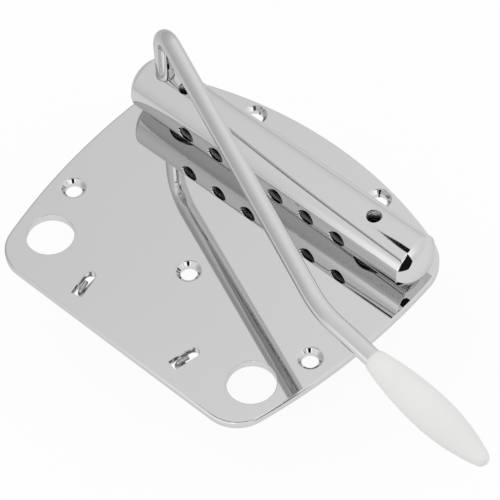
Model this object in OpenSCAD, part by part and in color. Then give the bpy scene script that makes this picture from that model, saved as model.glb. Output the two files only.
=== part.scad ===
// Rocking vibrato tailpiece for an electric guitar. A flat plate carries a round string bar that
// rocks on two grooved posts, against two tension springs that lie below the plate.
// The origin is on the underside of the plate, midway between the two bridge post holes.
// +X is the bass side, +Y the tail end and +Z is up. All sizes are in millimetres.

/* [Base plate] */
// Thickness of the plate
plate_t = 2.4; // [2:0.1:3]
// Width of the plate at its widest place
plate_w = 104.1; // [98:0.5:112]
// Distance from the bridge post line forward to the straight front edge
front_reach = 14.5; // [12:0.5:18]
// Distance from the bridge post line back to the middle of the tail edge
tail_reach = 74; // [71:0.5:80]
// Distance from the bridge post line back to the widest place
widest_y = 41; // [34:0.5:46]
// Radius of the two front corners
front_corner_r = 10.5; // [6:0.5:14]
// Radius of the two rear corners
rear_corner_r = 13; // [8:0.5:18]
// Radius of the slightly bowed sides
side_r = 190; // [150:5:300]
// Radius of the bowed tail edge
tail_r = 122; // [100:2:160]
// Radius of the rounding on the upper edge of the plate
edge_round = 0.6; // [0.2:0.1:1]

/* [Plate holes] */
// Distance between the two bridge post holes
bridge_spacing = 74; // [72:0.5:76]
// Diameter of the bridge post holes
bridge_hole_d = 13.3; // [10:0.1:15]
// Diameter of the shank holes for the wood screws
screw_hole_d = 4.8; // [3.5:0.1:5.2]
// Diameter of the countersinks at the plate's upper face
screw_head_d = 6.9; // [6:0.1:8]
// Distance from the middle front screw hole to each outer one
front_screw_pitch = 43.5; // [38:0.5:45]
// Distance from the bridge post line back to the three front screw holes
front_screw_y = 15.65; // [13:0.05:24]
// Distance between the two rear screw holes
rear_screw_spacing = 45.8; // [30:0.2:52]
// Distance from the bridge post line back to the two rear screw holes
rear_screw_y = 67.3; // [66:0.1:68]

/* [Spring hook slots] */
// Width of each slot
slot_w = 3.2; // [2.6:0.1:5]
// Length of the slot behind its cross web
slot_rear = 4.5; // [3.5:0.1:8]
// Length of the slot ahead of its cross web
slot_front = 2.9; // [2.6:0.1:4]
// Width of the cross web that the spring hook holds
web_w = 1.1; // [0.8:0.1:1.5]
// Height of the top of the cross web above the underside
web_h = 0.9; // [0.6:0.1:1.1]
// Distance of each cross web from the middle of the plate
web_x = 18.3; // [14:0.1:24]
// Distance of each cross web ahead of the bridge post line
web_reach = 6.35; // [4:0.05:9]
// Angle between each slot and the length of the guitar
slot_turn = 12.5; // [8:0.5:18]

/* [String bar] */
// Diameter of the bar
bar_d = 15.9; // [15:0.1:18]
// Distance of the end rims of the bar in from the widest place of the plate
bar_inset = 3.85; // [2:0.05:6]
// Height of the domed end beyond its rim
dome_h = 3.7; // [2:0.1:6]
// Distance from the bridge post line back to the axis of the bar
bar_y = 52.5; // [51:0.1:54]
// Height of the bar above the plate at its lowest setting
bar_gap = 0.6; // [0.5:0.05:2]
// Distance between neighbouring string holes
string_pitch = 11; // [9:0.1:11.2]
// Number of strings
strings = 6; // [4:1:6]
// Diameter of the string passage at the middle of the bar
string_hole_d = 2.6; // [1.6:0.1:3]
// Diameter of the front mouth of each string hole, inside its chamfer
string_mouth_d = 5; // [4:0.1:5.4]
// Depth of the front mouth of each string hole
string_mouth_l = 4.2; // [2:0.1:4.6]
// Diameter of the seat for the ball end of the string at the rear
ball_seat_d = 5; // [4.4:0.1:5.4]
// Depth of the ball end seat
ball_seat_l = 4.4; // [2:0.1:4.6]
// Width of the chamfers round the holes in the bar
hole_chamfer = 0.3; // [0.1:0.05:0.5]

/* [Fulcrum posts] */
// Distance between the two posts
post_spacing = 68; // [67:0.2:70]
// Diameter of the neck that goes up inside the bar
neck_d = 8; // [6:0.1:8.4]
// Height of the top of the neck above the axis of the bar
neck_rise = 1; // [0.4:0.1:1.6]
// Diameter of the collar that carries the groove
collar_d = 11; // [10.4:0.1:11.4]
// Diameter at the bottom of the groove
groove_d = 9.2; // [8.8:0.1:9.8]
// Height of the cylindrical bottom of the groove
groove_h = 0.8; // [0.6:0.1:1]
// Height of the land on the knife edge of the plate, at half the plate's thickness
knife_land = 0.3; // [0.2:0.05:0.5]
// Width of the bevel above the knife edge, at the front of the post hole
knife_bevel = 1.1; // [0.9:0.05:1.3]
// Diameter of the long stem below the plate
stem_d = 8; // [6:0.1:9]
// Distance of the foot of the post below the underside of the plate
post_drop = 24.5; // [20:0.5:30]
// Diameter at the bottom of the foot groove that the spring loops round
foot_groove_d = 5.6; // [4.6:0.1:6.4]
// Height of the foot groove
foot_groove_h = 2.6; // [2:0.1:3.4]
// Height of the rim below the foot groove
foot_rim_h = 2.8; // [1.5:0.1:4]

/* [Set screws] */
// Core diameter of the height screws and of the threaded holes' bore
height_screw_d = 4.2; // [3.6:0.1:4.6]
// Length of the height screws
height_screw_l = 3.6; // [3:0.1:5]
// Core diameter of the lock screws at the back of the bar
lock_screw_d = 3.3; // [2.6:0.1:3.6]
// Length of the two post lock screws
post_lock_l = 3; // [2:0.1:3.4]
// Length of the arm lock screw
arm_lock_l = 4; // [3:0.1:4.6]
// Distance of the lock screws below the axis of the bar
lock_drop = 1.9; // [1.2:0.1:2.2]
// Width across the corners of the key socket in the height screws
height_key_d = 2.9; // [2:0.1:3.2]
// Width across the corners of the key socket in the lock screws
lock_key_d = 2.3; // [1.6:0.1:2.4]

/* [Arm] */
// Diameter of the arm rod
arm_d = 5; // [4.5:0.1:5.2]
// Distance of the arm hole outwards from the treble post
arm_from_post = 8; // [7.6:0.1:8.6]
// Depth of the arm hole below the axis of the bar
arm_hole_drop = 4.4; // [3.8:0.1:4.6]
// Height of the corner at the top of the stub above the plate
arm_rise = 36.5; // [27:0.5:45]
// Radius of the bend at the top of the stub
stub_bend_r = 8; // [6:0.5:12]
// Distance of the second bend from the middle, across the strings
dogleg_x = 50.4; // [40:0.2:60]
// Distance from the bridge post line back to the second bend
dogleg_y = 12.8; // [4:0.2:20]
// Drop of the arm from the stub corner to the second bend
arm_fall = 5.5; // [0:0.1:6]
// Radius of the second bend
dogleg_r = 40; // [10:1:60]
// Distance of the end of the tip from the middle
tip_x = 110.5; // [104:0.5:120]
// Distance from the bridge post line back to the end of the tip
tip_y = 5; // [0:0.5:8]

/* [Arm tip] */
// Length of the tip
tip_l = 40.5; // [34:0.5:44]
// Greatest diameter of the tip
tip_d = 10.1; // [8:0.1:13]
// Distance from the base of the tip to its thickest place
tip_belly = 20.4; // [16:0.2:24]
// Radius of the long curve from the base to the thickest place
tip_base_r = 97; // [80:1:160]
// Radius of the curve from the thickest place towards the end
tip_nose_r = 60; // [40:1:100]
// Width of the chamfer round the base of the tip
tip_chamfer = 0.5; // [0.2:0.1:0.8]
// Depth of the rod's socket in the tip
tip_socket = 14; // [8:0.5:20]

/* [Tension springs] */
// Diameter of the spring wire
wire_d = 1.3; // [1:0.05:1.4]
// Outer diameter of the springs
spring_d = 8.4; // [7:0.1:9]
// Number of curls
curls = 19; // [12:1:20]
// Distance from one curl to the next
curl_pitch = 2; // [1.9:0.05:2.1]

/* [Fits] */
// Radial gap between a rod, neck or screw and its hole
slide_fit = 0.05; // [0.03:0.01:0.08]
// Radial gap between the arm rod and its socket in the tip
press_gap = 0.02; // [0.01:0.01:0.04]
// Gap between the knife edge and the bottom of the groove
knife_gap = 0.08; // [0.04:0.01:0.12]
// Radial room of the post collar in the plate hole and in the bar
collar_room = 0.2; // [0.15:0.05:0.3]
// Extra radius of the plate hole, by which the post is set in from above
entry_room = 0.2; // [0.1:0.05:0.3]
// Gap between the top of the neck or collar and the end of its bore
end_room = 0.3; // [0.2:0.05:0.5]
// Gap between the spring wire and what it hooks on to
hook_gap = 0.15; // [0.1:0.01:0.2]

/* [Hidden] */
$fn = 96;
treble = -1;
bass = 1;
chrome = [0.78, 0.79, 0.8];
steel = [0.55, 0.56, 0.58];
dark_steel = [0.3, 0.3, 0.32];
white_plastic = [0.93, 0.93, 0.91];
// Overrun of a cut past the face that it opens
past = 1;
round_steps = 4;
corner_steps = 10;
bow_steps = 14;

side_c = [plate_w / 2 - side_r, widest_y];
tail_c = [0, tail_reach - tail_r];
front_c = [side_c.x + sqrt(pow(side_r - front_corner_r, 2)
    - pow(widest_y + front_reach - front_corner_r, 2)), front_corner_r - front_reach];
rear_c = circles_meet(side_c, side_r - rear_corner_r, tail_c, tail_r - rear_corner_r);

bar_l = plate_w - 2 * bar_inset;
bar_r = bar_d / 2;
bar_z = plate_t + bar_gap + bar_r;
dome_r = (bar_r * bar_r + dome_h * dome_h) / (2 * dome_h);
post_x = post_spacing / 2;
arm_x = post_x + arm_from_post;
neck_r = neck_d / 2;
collar_r = collar_d / 2;
groove_r = groove_d / 2;
stem_r = stem_d / 2;
neck_top = bar_z + neck_rise;
// The knife edge is the front rim of the post hole, seated in the groove
knife_y = bar_y - groove_r - knife_gap;
knife_z = plate_t / 2;
post_hole_r = collar_r + collar_room + entry_room;
post_hole_y = knife_y + post_hole_r;
// The underside of the knife edge slopes by this much per millimetre of depth
knife_slope = 0.7;
groove_top = knife_z + groove_h / 2;
groove_bottom = knife_z - groove_h / 2;
// The walls of the groove flare by this much in height per millimetre of depth
groove_flare = 1.6;
groove_lip = (collar_r - groove_r) * groove_flare;
collar_h = 0.4;
collar_top = groove_top + groove_lip + collar_h;
flange_bottom = -1.5;
foot_z = -post_drop;
foot_groove_z = foot_z + foot_rim_h + foot_groove_h / 2;
post_chamfer = 0.5;
lock_z = bar_z - lock_drop;
screw_chamfer = 0.4;
key_depth = 1.8;

// The straight stretches of the arm lap over the bends, which are drawn down by a hair
bend_lap = 0.3;
bend_step = 0.02;

// Corners of the arm's centre line, from the bottom of the stub to the end of the tip
arm_foot = [-arm_x, bar_y, bar_z - arm_hole_drop + end_room];
arm_corner = [-arm_x, bar_y, plate_t + arm_rise];
arm_dogleg = [dogleg_x, dogleg_y, plate_t + arm_rise - arm_fall];
tip_end = [tip_x, tip_y, arm_dogleg.z];
tip_way = unit(tip_end - arm_dogleg);
tip_base = tip_end - tip_way * tip_l;
arm_end = tip_base + tip_way * (tip_socket - end_room);

// The spring lies in the upright plane through its web and its post, where a is the distance
// from the web towards the post, b the height and c the distance to one side
wire_r = wire_d / 2;
coil_r = (spring_d - wire_d) / 2;
spring_way = unit([post_x - web_x, bar_y + web_reach]);
post_a = norm([post_x - web_x, bar_y + web_reach]);
hook_top = web_h + hook_gap + wire_r;
hook_low = -hook_gap - wire_r;
hook_r = (hook_top - hook_low) / 2;
loop_r = foot_groove_d / 2 + hook_gap + wire_r;
axis_start = [0, hook_low];
axis_end = [post_a - stem_r, foot_groove_z];
axis_way = unit(axis_end - axis_start);
axis_up = [-axis_way.y, axis_way.x];
coil_shift = 0.6;
coil_start = (norm(axis_end - axis_start) - curls * curl_pitch) / 2 + coil_shift;
curl_rings = 8;
tube_sides = 6;
hook_rings = 8;
loop_rings = 14;
swerve_rings = 6;

function unit(v) = v / norm(v);
function angle_of(v) = atan2(v.y, v.x);
function smooth(t) = t * t * (3 - 2 * t);

// Points on an arc about c, from angle a0 to angle a1, from the first of its n steps on
function arc(c, r, a0, a1, n, first = 0) =
    [for (i = [first : n]) let (a = a0 + (a1 - a0) * i / n) c + r * [cos(a), sin(a)]];

// The point at distance ra from a and rb from b, on the left of the line from a to b
function circles_meet(a, ra, b, rb) = let (
    d = norm(b - a), u = (b - a) / d, k = (ra * ra - rb * rb + d * d) / (2 * d),
    h = sqrt(ra * ra - k * k)) a + k * u + h * [-u.y, u.x];

// One half of the plate's outline, drawn in by inset: four arcs, each tangent to the next
function half_outline(inset) = concat(
    arc(front_c, front_corner_r - inset, -90, angle_of(front_c - side_c), corner_steps),
    arc(side_c, side_r - inset, angle_of(front_c - side_c), angle_of(rear_c - side_c),
        bow_steps, 1),
    arc(rear_c, rear_corner_r - inset, angle_of(rear_c - side_c), angle_of(rear_c - tail_c),
        corner_steps, 1),
    arc(tail_c, tail_r - inset, angle_of(rear_c - tail_c), 90, bow_steps, 1));

function outline(inset) = let (half = half_outline(inset), n = len(half))
    concat(half, [for (i = [2 : n]) [-half[n - i].x, half[n - i].y]]);

// The plate without its holes: the lower edge is square and the upper one is rounded over,
// by drawing the outline in along a quarter circle
module plate_blank() {
    levels = concat([[0, 0]], [for (i = [0 : round_steps]) let (a = 90 * i / round_steps)
        [edge_round * (1 - cos(a)), plate_t - edge_round * (1 - sin(a))]]);
    n = len(outline(0));
    top = (len(levels) - 1) * n;
    points = [for (level = levels) for (p = outline(level[0])) [p.x, p.y, level[1]]];
    sides = [for (i = [0 : n : top - n]) for (j = [0 : n - 1]) let (p = i + j,
        q = i + (j + 1) % n) each [[p, p + n, q + n], [p, q + n, q]]];
    under = [for (j = [0 : n - 1]) j];
    over = [for (j = [n - 1 : -1 : 0]) top + j];
    polyhedron(points, concat(sides, [under, over]));
}

module countersunk_hole() {
    sink = (screw_head_d - screw_hole_d) / 2;
    translate([0, 0, -past]) cylinder(d = screw_hole_d, h = plate_t + 2 * past);
    translate([0, 0, plate_t - sink]) cylinder(d1 = screw_hole_d, d2 = screw_head_d + 2 * past,
        h = sink + past);
}

// The front rim of a post hole is a knife edge: a thin land, sloped away below all round the
// hole, and bevelled above by a cone about the post's own axis
module knife_edged_hole() {
    slope_h = knife_z - knife_land / 2;
    bevel_h = plate_t - knife_z - knife_land / 2;
    bevel_r = bar_y - knife_y;
    translate([0, post_hole_y, -past]) cylinder(r = post_hole_r, h = plate_t + 2 * past);
    translate([0, post_hole_y, -past]) cylinder(r1 = post_hole_r + (slope_h + past) / knife_slope,
        r2 = post_hole_r, h = slope_h + past);
    translate([0, bar_y, plate_t - bevel_h]) cylinder(r1 = bevel_r,
        r2 = bevel_r + knife_bevel * (1 + past / bevel_h), h = bevel_h + past);
}

// A slot with a square front and a round rear end, about its cross web
module hook_slot() {
    front = web_w / 2 + slot_front;
    rear = web_w / 2 + slot_rear;
    difference() {
        translate([0, 0, -past]) linear_extrude(plate_t + 2 * past) {
            translate([-slot_w / 2, -front]) square([slot_w, front + rear - slot_w / 2]);
            translate([0, rear - slot_w / 2]) circle(d = slot_w);
        }
        translate([-slot_w, -web_w / 2, -2 * past]) cube([2 * slot_w, web_w, web_h + 2 * past]);
    }
}

module base_plate() {
    color(chrome) difference() {
        plate_blank();
        for (side = [treble, bass]) {
            translate([side * bridge_spacing / 2, 0, -past])
                cylinder(d = bridge_hole_d, h = plate_t + 2 * past);
            translate([side * rear_screw_spacing / 2, rear_screw_y, 0]) countersunk_hole();
            translate([side * post_x, 0, 0]) knife_edged_hole();
            translate([side * web_x, -web_reach, 0]) rotate(-side * slot_turn) hook_slot();
        }
        for (step = [-1 : 1]) {
            translate([step * front_screw_pitch, front_screw_y, 0]) countersunk_hole();
        }
    }
}

// Places a shape on the axis of the bar, x from its middle
module on_bar(x) {
    translate([x, bar_y, bar_z]) children();
}

// A hole drilled inwards along +Z from a face at z = 0, with a chamfered mouth.
// The face is the curved side of the bar, so the mouth is cut from past its highest line.
module drilled(d, depth, chamfer) {
    translate([0, 0, -past]) cylinder(d = d, h = depth + past);
    translate([0, 0, -past]) cylinder(d1 = d + 2 * (chamfer + past), d2 = d,
        h = past + chamfer);
}

// Turns what is drawn along +Z from z = 0 to run into the bar from its front, rear or top
module from_front() {
    translate([0, -bar_r, 0]) rotate([-90, 0, 0]) children();
}
module from_rear() {
    translate([0, bar_r, 0]) rotate([90, 0, 0]) children();
}
module from_top() {
    translate([0, 0, bar_r]) rotate([180, 0, 0]) children();
}

// The round bar with its two shallow domes, turned about its own axis
module bar_blank() {
    rim = bar_l / 2;
    dome_a = asin((dome_r - dome_h) / dome_r);
    upper = arc([0, rim + dome_h - dome_r], dome_r, dome_a, 90, corner_steps);
    lower = [for (i = [0 : corner_steps]) [upper[i].x, -upper[i].y]];
    outline = concat([for (i = [corner_steps : -1 : 0]) lower[i]], upper);
    rotate([0, 90, 0]) rotate_extrude() polygon(outline);
}

module string_hole() {
    from_front() drilled(string_mouth_d, string_mouth_l, hole_chamfer);
    from_rear() drilled(ball_seat_d, ball_seat_l, hole_chamfer);
    from_front() cylinder(d = string_hole_d, h = bar_d);
}

// The seat of a post in the bar, its height screw hole above and its lock screw hole behind
module post_seat() {
    neck_end = neck_rise + end_room;
    translate([0, 0, -bar_r - past]) cylinder(r = neck_r + slide_fit, h = past + bar_r + neck_end);
    translate([0, 0, -bar_r - 2 * past])
        cylinder(r = collar_r + collar_room, h = 2 * past + collar_top + end_room - bar_z + bar_r);
    from_top() drilled(height_screw_d + 2 * slide_fit, bar_r - neck_end + past / 2, 0);
    translate([0, 0, -lock_drop]) from_rear() drilled(lock_screw_d + 2 * slide_fit, bar_r, 0);
}

module arm_socket() {
    from_top() drilled(arm_d + 2 * slide_fit, bar_r + arm_hole_drop, hole_chamfer);
    translate([0, 0, -lock_drop]) from_rear() drilled(lock_screw_d + 2 * slide_fit, bar_r, 0);
}

module tailpiece_bar() {
    color(chrome) difference() {
        on_bar(0) bar_blank();
        for (i = [0 : strings - 1]) {
            on_bar((i - (strings - 1) / 2) * string_pitch) string_hole();
        }
        for (side = [treble, bass]) {
            on_bar(side * post_x) post_seat();
        }
        on_bar(-arm_x) arm_socket();
    }
}

// Half section of a post, from the top of its neck down to its foot
module fulcrum_post(side) {
    section = [
        [0, neck_top], [neck_r - post_chamfer, neck_top], [neck_r, neck_top - post_chamfer],
        [neck_r, collar_top], [collar_r, collar_top],
        [collar_r, groove_top + groove_lip], [groove_r, groove_top],
        [groove_r, groove_bottom], [collar_r, groove_bottom - groove_lip],
        [collar_r, flange_bottom], [stem_r, flange_bottom - post_chamfer],
        [stem_r, foot_groove_z + foot_groove_h / 2],
        [foot_groove_d / 2, foot_groove_z + foot_groove_h / 2],
        [foot_groove_d / 2, foot_groove_z - foot_groove_h / 2],
        [stem_r, foot_groove_z - foot_groove_h / 2],
        [stem_r, foot_z + post_chamfer], [stem_r - post_chamfer, foot_z], [0, foot_z]];
    color(steel) translate([side * post_x, bar_y, 0]) rotate_extrude() polygon(section);
}

// A headless screw along +Z: its point is at z = 0 and its key socket in the far end
module set_screw(d, l, key_d) {
    r = d / 2;
    c = screw_chamfer;
    color(dark_steel) difference() {
        rotate_extrude() polygon([[0, 0], [r - c, 0], [r, c], [r, l - c], [r - c, l], [0, l]]);
        translate([0, 0, l - key_depth]) cylinder(d = key_d, h = key_depth + past, $fn = 6);
    }
}

module height_screw(side) {
    translate([side * post_x, bar_y, neck_top + slide_fit])
        set_screw(height_screw_d, height_screw_l, height_key_d);
}

// A lock screw at the back of the bar, its point against a rod of radius r at x
module lock_screw(x, r, l) {
    translate([x, bar_y + r + slide_fit, lock_z]) rotate([-90, 0, 0])
        set_screw(lock_screw_d, l, lock_key_d);
}

// A bend of a round rod at corner p, between unit ways a and b, of centre line radius r
module rod_bend(p, a, b, r) {
    turn = acos(a * b);
    n = unit(cross(a, b));
    m = cross(n, a);
    c = p - a * r * tan(turn / 2) + m * r;
    multmatrix([[-m.x, a.x, n.x, c.x], [-m.y, a.y, n.y, c.y], [-m.z, a.z, n.z, c.z]])
        rotate_extrude(angle = turn) translate([r, 0]) circle(d = arm_d - 2 * bend_step);
}

// A straight stretch of the rod from p to q, lapped over a bend at its start or its end
module rod_run(p, q, lap_p, lap_q) {
    way = q - p;
    translate(p) rotate([0, acos(way.z / norm(way)), angle_of(way)])
        translate([0, 0, -lap_p]) cylinder(d = arm_d, h = norm(way) + lap_p + lap_q);
}

module tremolo_arm() {
    rise_way = unit(arm_corner - arm_foot);
    run_way = unit(arm_dogleg - arm_corner);
    stub_cut = stub_bend_r * tan(acos(rise_way * run_way) / 2);
    dogleg_cut = dogleg_r * tan(acos(run_way * tip_way) / 2);
    color(chrome) {
        rod_run(arm_foot, arm_corner - rise_way * stub_cut, 0, bend_lap);
        rod_bend(arm_corner, rise_way, run_way, stub_bend_r);
        rod_run(arm_corner + run_way * stub_cut, arm_dogleg - run_way * dogleg_cut,
            bend_lap, bend_lap);
        rod_bend(arm_dogleg, run_way, tip_way, dogleg_r);
        rod_run(arm_dogleg + tip_way * dogleg_cut, arm_end, bend_lap, 0);
    }
}

// The tip is turned: a chamfered base, two long tangent curves and a small round end
module arm_tip() {
    tip_r = tip_d / 2;
    base_c = [tip_r - tip_base_r, tip_belly];
    nose_c = [tip_r - tip_nose_r, tip_belly];
    // The round end touches the curve of the nose and closes at the full length
    reach = tip_l - tip_belly;
    end_r = (tip_nose_r * tip_nose_r - nose_c.x * nose_c.x - reach * reach)
        / (2 * (tip_nose_r - reach));
    end_c = [0, tip_l - end_r];
    base_a = -asin((tip_belly - tip_chamfer) / tip_base_r);
    meet_a = angle_of(end_c - nose_c);
    foot_r = base_c.x + tip_base_r * cos(base_a);
    section = concat([[0, 0], [foot_r - tip_chamfer, 0]],
        arc(base_c, tip_base_r, base_a, 0, corner_steps),
        arc(nose_c, tip_nose_r, 0, meet_a, corner_steps, 1),
        arc(end_c, end_r, meet_a, 90, corner_steps, 1));
    color(white_plastic) translate(tip_base)
        rotate([0, acos(tip_way.z), angle_of(tip_way)]) difference() {
            rotate_extrude() polygon(section);
            translate([0, 0, -past]) cylinder(r = arm_d / 2 + press_gap, h = past + tip_socket);
        }
}

// Height of the spring's straight axis line at distance a, level once it reaches the foot
function axis_b(a) = a > axis_end.x ? axis_end.y
    : axis_start.y + (a - axis_start.x) * axis_way.y / axis_way.x;

// The centre line of a spring as points [a, c, b]: the hook over the web, the curls about the
// axis, and the loop round the foot of the post
hook_line = concat([[web_w / 2 + wire_d, 0, hook_top], [web_w / 2, 0, hook_top]],
    [for (i = [0 : hook_rings]) let (t = 90 + 180 * i / hook_rings)
        [hook_r * cos(t) - web_w / 2, 0, hook_low + hook_r + hook_r * sin(t)]]);
coil_line = [for (i = [0 : curls * curl_rings]) let (t = i / curl_rings,
    grow = smooth(min(1, t, curls - t)), s = coil_start + t * curl_pitch,
    up = coil_r * grow * sin(360 * t), p = axis_start + s * axis_way + up * axis_up)
        [p.x, coil_r * grow * cos(360 * t), p.y]];
swerve_a = coil_line[len(coil_line) - 1].x + wire_d;
swerve_line = [for (i = [0 : swerve_rings - 1]) let (t = i / swerve_rings,
    a = swerve_a + (post_a - swerve_a) * t) [a, loop_r * smooth(t), axis_b(a)]];
loop_turn = 190;
loop_end_a = 90 - loop_turn;
loop_line = [for (i = [0 : loop_rings]) let (t = 90 - loop_turn * i / loop_rings)
    [post_a + loop_r * cos(t), loop_r * sin(t), axis_end.y]];
loop_tail = loop_line[loop_rings] + wire_d * [sin(loop_end_a), -cos(loop_end_a), 0];
spring_line = concat(hook_line, coil_line, swerve_line, loop_line, [loop_tail]);

// The least distance between the surfaces of neighbouring curls, measured on the points
curl_gap = min([for (i = [0 : len(coil_line) - curl_rings * 3 / 2 - 1])
    min([for (j = [curl_rings / 2 : curl_rings * 3 / 2])
        norm(coil_line[i] - coil_line[i + j])]) - wire_d]);
echo(least_gap_between_curls = curl_gap);

// Directions along a line of points, and normals carried along it without twist
function ways(line) = let (n = len(line) - 1) [for (i = [0 : n]) let (
    ahead = unit(line[min(i + 1, n)] - line[min(i, n - 1)]),
    behind = unit(line[max(i, 1)] - line[max(i - 1, 0)])) unit(ahead + behind)];
function carried(normal, way) = unit(normal - (normal * way) * way);
function normals(way) = [for (i = 0, v = carried([0, 0, 1], way[0]); i < len(way);
    i = i + 1, v = i < len(way) ? carried(v, way[i]) : v) v];

// One unbroken round wire along a line of points
module wire(line) {
    n = len(line);
    k = tube_sides;
    way = ways(line);
    normal = normals(way);
    points = [for (i = [0 : n - 1]) for (j = [0 : k - 1]) let (t = 360 * j / k)
        line[i] + wire_r * (cos(t) * normal[i] + sin(t) * cross(way[i], normal[i]))];
    sides = [for (i = [0 : n - 2]) for (j = [0 : k - 1]) let (
        p = i * k + j, q = i * k + (j + 1) % k)
        each [[p, q, q + k], [p, q + k, p + k]]];
    caps = [for (j = [1 : k - 2]) each [[0, j + 1, j], [(n - 1) * k, (n - 1) * k + j,
        (n - 1) * k + j + 1]]];
    polyhedron(points, concat(sides, caps));
}

module tension_spring(side) {
    e = [side * spring_way.x, spring_way.y, 0];
    s = [-e.y, e.x, 0];
    web = [side * web_x, -web_reach, 0];
    line = [for (p = spring_line) web + p.x * e + p.y * s + [0, 0, p.z]];
    color(steel) wire(line);
}

base_plate();
tailpiece_bar();
fulcrum_post(treble);  // fulcrum_post_treble
fulcrum_post(bass);  // fulcrum_post_bass
height_screw(treble);  // height_screw_treble
height_screw(bass);  // height_screw_bass
lock_screw(-post_x, neck_r, post_lock_l);  // post_lock_screw_treble
lock_screw(post_x, neck_r, post_lock_l);  // post_lock_screw_bass
lock_screw(-arm_x, arm_d / 2, arm_lock_l);  // arm_lock_screw
tremolo_arm();
arm_tip();
tension_spring(treble);  // tension_spring_treble
tension_spring(bass);  // tension_spring_bass
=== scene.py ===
"""A rocking vibrato tailpiece in chrome on a pale studio floor.

Lengths inside the shape functions are in millimetres, and a mesh is put in metres when it is
made. The origin is on the underside of the plate, midway between the two bridge post holes,
with +X to the bass side, +Y to the tail end and +Z up.
"""
import math

import bmesh
import bpy
import numpy as np
from mathutils import Matrix, Vector


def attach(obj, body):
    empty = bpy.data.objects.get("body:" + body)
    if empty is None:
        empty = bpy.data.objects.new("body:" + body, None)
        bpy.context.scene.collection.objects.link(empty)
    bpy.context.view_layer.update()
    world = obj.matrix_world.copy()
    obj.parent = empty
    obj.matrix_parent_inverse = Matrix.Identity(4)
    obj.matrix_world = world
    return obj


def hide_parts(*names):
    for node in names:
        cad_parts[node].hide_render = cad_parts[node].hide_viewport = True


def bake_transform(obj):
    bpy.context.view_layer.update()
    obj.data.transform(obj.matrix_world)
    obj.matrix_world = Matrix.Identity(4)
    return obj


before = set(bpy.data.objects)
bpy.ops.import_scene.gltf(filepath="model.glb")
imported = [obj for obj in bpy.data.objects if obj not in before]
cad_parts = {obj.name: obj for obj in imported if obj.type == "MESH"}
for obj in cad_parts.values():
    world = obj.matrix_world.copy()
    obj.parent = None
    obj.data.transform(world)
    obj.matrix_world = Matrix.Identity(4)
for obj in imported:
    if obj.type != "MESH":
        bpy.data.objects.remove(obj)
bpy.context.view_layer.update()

MM = 0.001
UP, TAILWARD = (0, 0, 1), (0, 1, 0)

# Sizes of the object, the same as in the part's source. First the plate, its holes at (x, y)
# and the cross webs in its slots
PLATE_T = 2.4
BRIDGE_HOLE_R, BRIDGE_HOLES = 6.65, ((-37.0, 0.0), (37.0, 0.0))
SHANK_R, HEAD_R = 2.4, 3.45
SCREW_HOLES = ((-43.5, 15.65), (0.0, 15.65), (43.5, 15.65), (-22.9, 67.3), (22.9, 67.3))
WEB_X, WEB_Y, WEB_W, WEB_H = 18.3, -6.35, 1.1, 0.9

# The bar, with a sphere's cap on each end from the rim on, and its holes
BAR_R, BAR_Y, BAR_Z, BAR_RIM, DOME_H = 7.95, 52.5, 10.95, 48.2, 3.7
DOME_R = (BAR_R ** 2 + DOME_H ** 2) / (2 * DOME_H)
STRINGS, STRING_PITCH, MOUTH_R, PASSAGE_R, HOLE_CHAMFER = 6, 11.0, 2.5, 1.3, 0.3
HEIGHT_HOLE_R, ARM_HOLE_R = 2.15, 2.55

# The posts, from the neck down to the groove that a spring's loop lies in
POST_X, NECK_TOP, NECK_R, COLLAR_R, COLLAR_H = 34.0, 11.95, 4.0, 5.5, 0.4
GROOVE_R, GROOVE_TOP, GROOVE_LOW, GROOVE_LIP = 4.6, 1.6, 0.8, 1.44
FLANGE_Z, STEM_R, FOOT_Z, POST_CHAMFER = -1.5, 4.0, -24.5, 0.5
LOOP_GROOVE_R, LOOP_GROOVE_H, LOOP_Z = 2.8, 2.6, -20.4

# The set screws: radius, length, half the width of the key, and rise in one turn
HEIGHT_SCREW_R, HEIGHT_SCREW_L, HEIGHT_KEY_R, HEIGHT_PITCH = 2.1, 3.6, 1.45, 0.8
LOCK_R, POST_LOCK_L, ARM_LOCK_L, LOCK_KEY_R, LOCK_PITCH = 1.65, 3.0, 4.0, 1.15, 0.7
LOCK_Z, SCREW_GAP = 9.05, 0.05

# The arm and its tip
ARM_R, STUB_BEND_R, DOGLEG_R, ROD_IN_TIP = 2.5, 8.0, 40.0, 13.7
ARM_FOOT = np.array([-42.0, 52.5, 6.85])
ARM_CORNER = np.array([-42.0, 52.5, 38.9])
ARM_DOGLEG = np.array([50.4, 12.8, 33.4])
TIP_END, TIP_L = np.array([110.5, 5.0, 33.4]), 40.5

# The springs
WIRE_R, COIL_R, CURLS, CURL_PITCH, HOOK_GAP = 0.65, 3.55, 19, 2.0, 0.15

# Sizes that only this scene adds: how far edges are rounded, and where the liners that carry
# the thread of the height screws' holes begin and end
DOME_ROUND, HOLE_ROUND, POST_ROUND = 0.25, 0.2, 0.12
LINER_LOW, LINER_TOP = 12.3, 18.45

NEAR = 0.001             # millimetres between two places that count as one
TINY = 1e-12             # keeps a division by a length from failing
CONE = math.sqrt(0.5)    # how far the normal of a 45 degree cone is tipped


# ---- Shapes ----

def unit(v):
    return np.asarray(v, float) / np.linalg.norm(v)


def unit_rows(v):
    """Each row turned into a unit vector. A row of zeros stays as it is."""
    return v / np.maximum(np.linalg.norm(v, axis=1), TINY)[:, None]


def across(way):
    """Two unit vectors at right angles to a direction and to each other."""
    way = unit(way)
    side = unit(np.cross(way, [0, 0, 1] if abs(way[2]) < 0.9 else [1, 0, 0]))
    return side, np.cross(way, side)


def angles(sides):
    return np.linspace(0, 2 * np.pi, sides, endpoint=False)


def spokes(way, sides):
    """Unit vectors evenly round an axis: the cosine and sine of an angle on two cross vectors."""
    u, v = across(way)
    a = angles(sides)[:, None]
    return np.cos(a) * u + np.sin(a) * v


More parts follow.
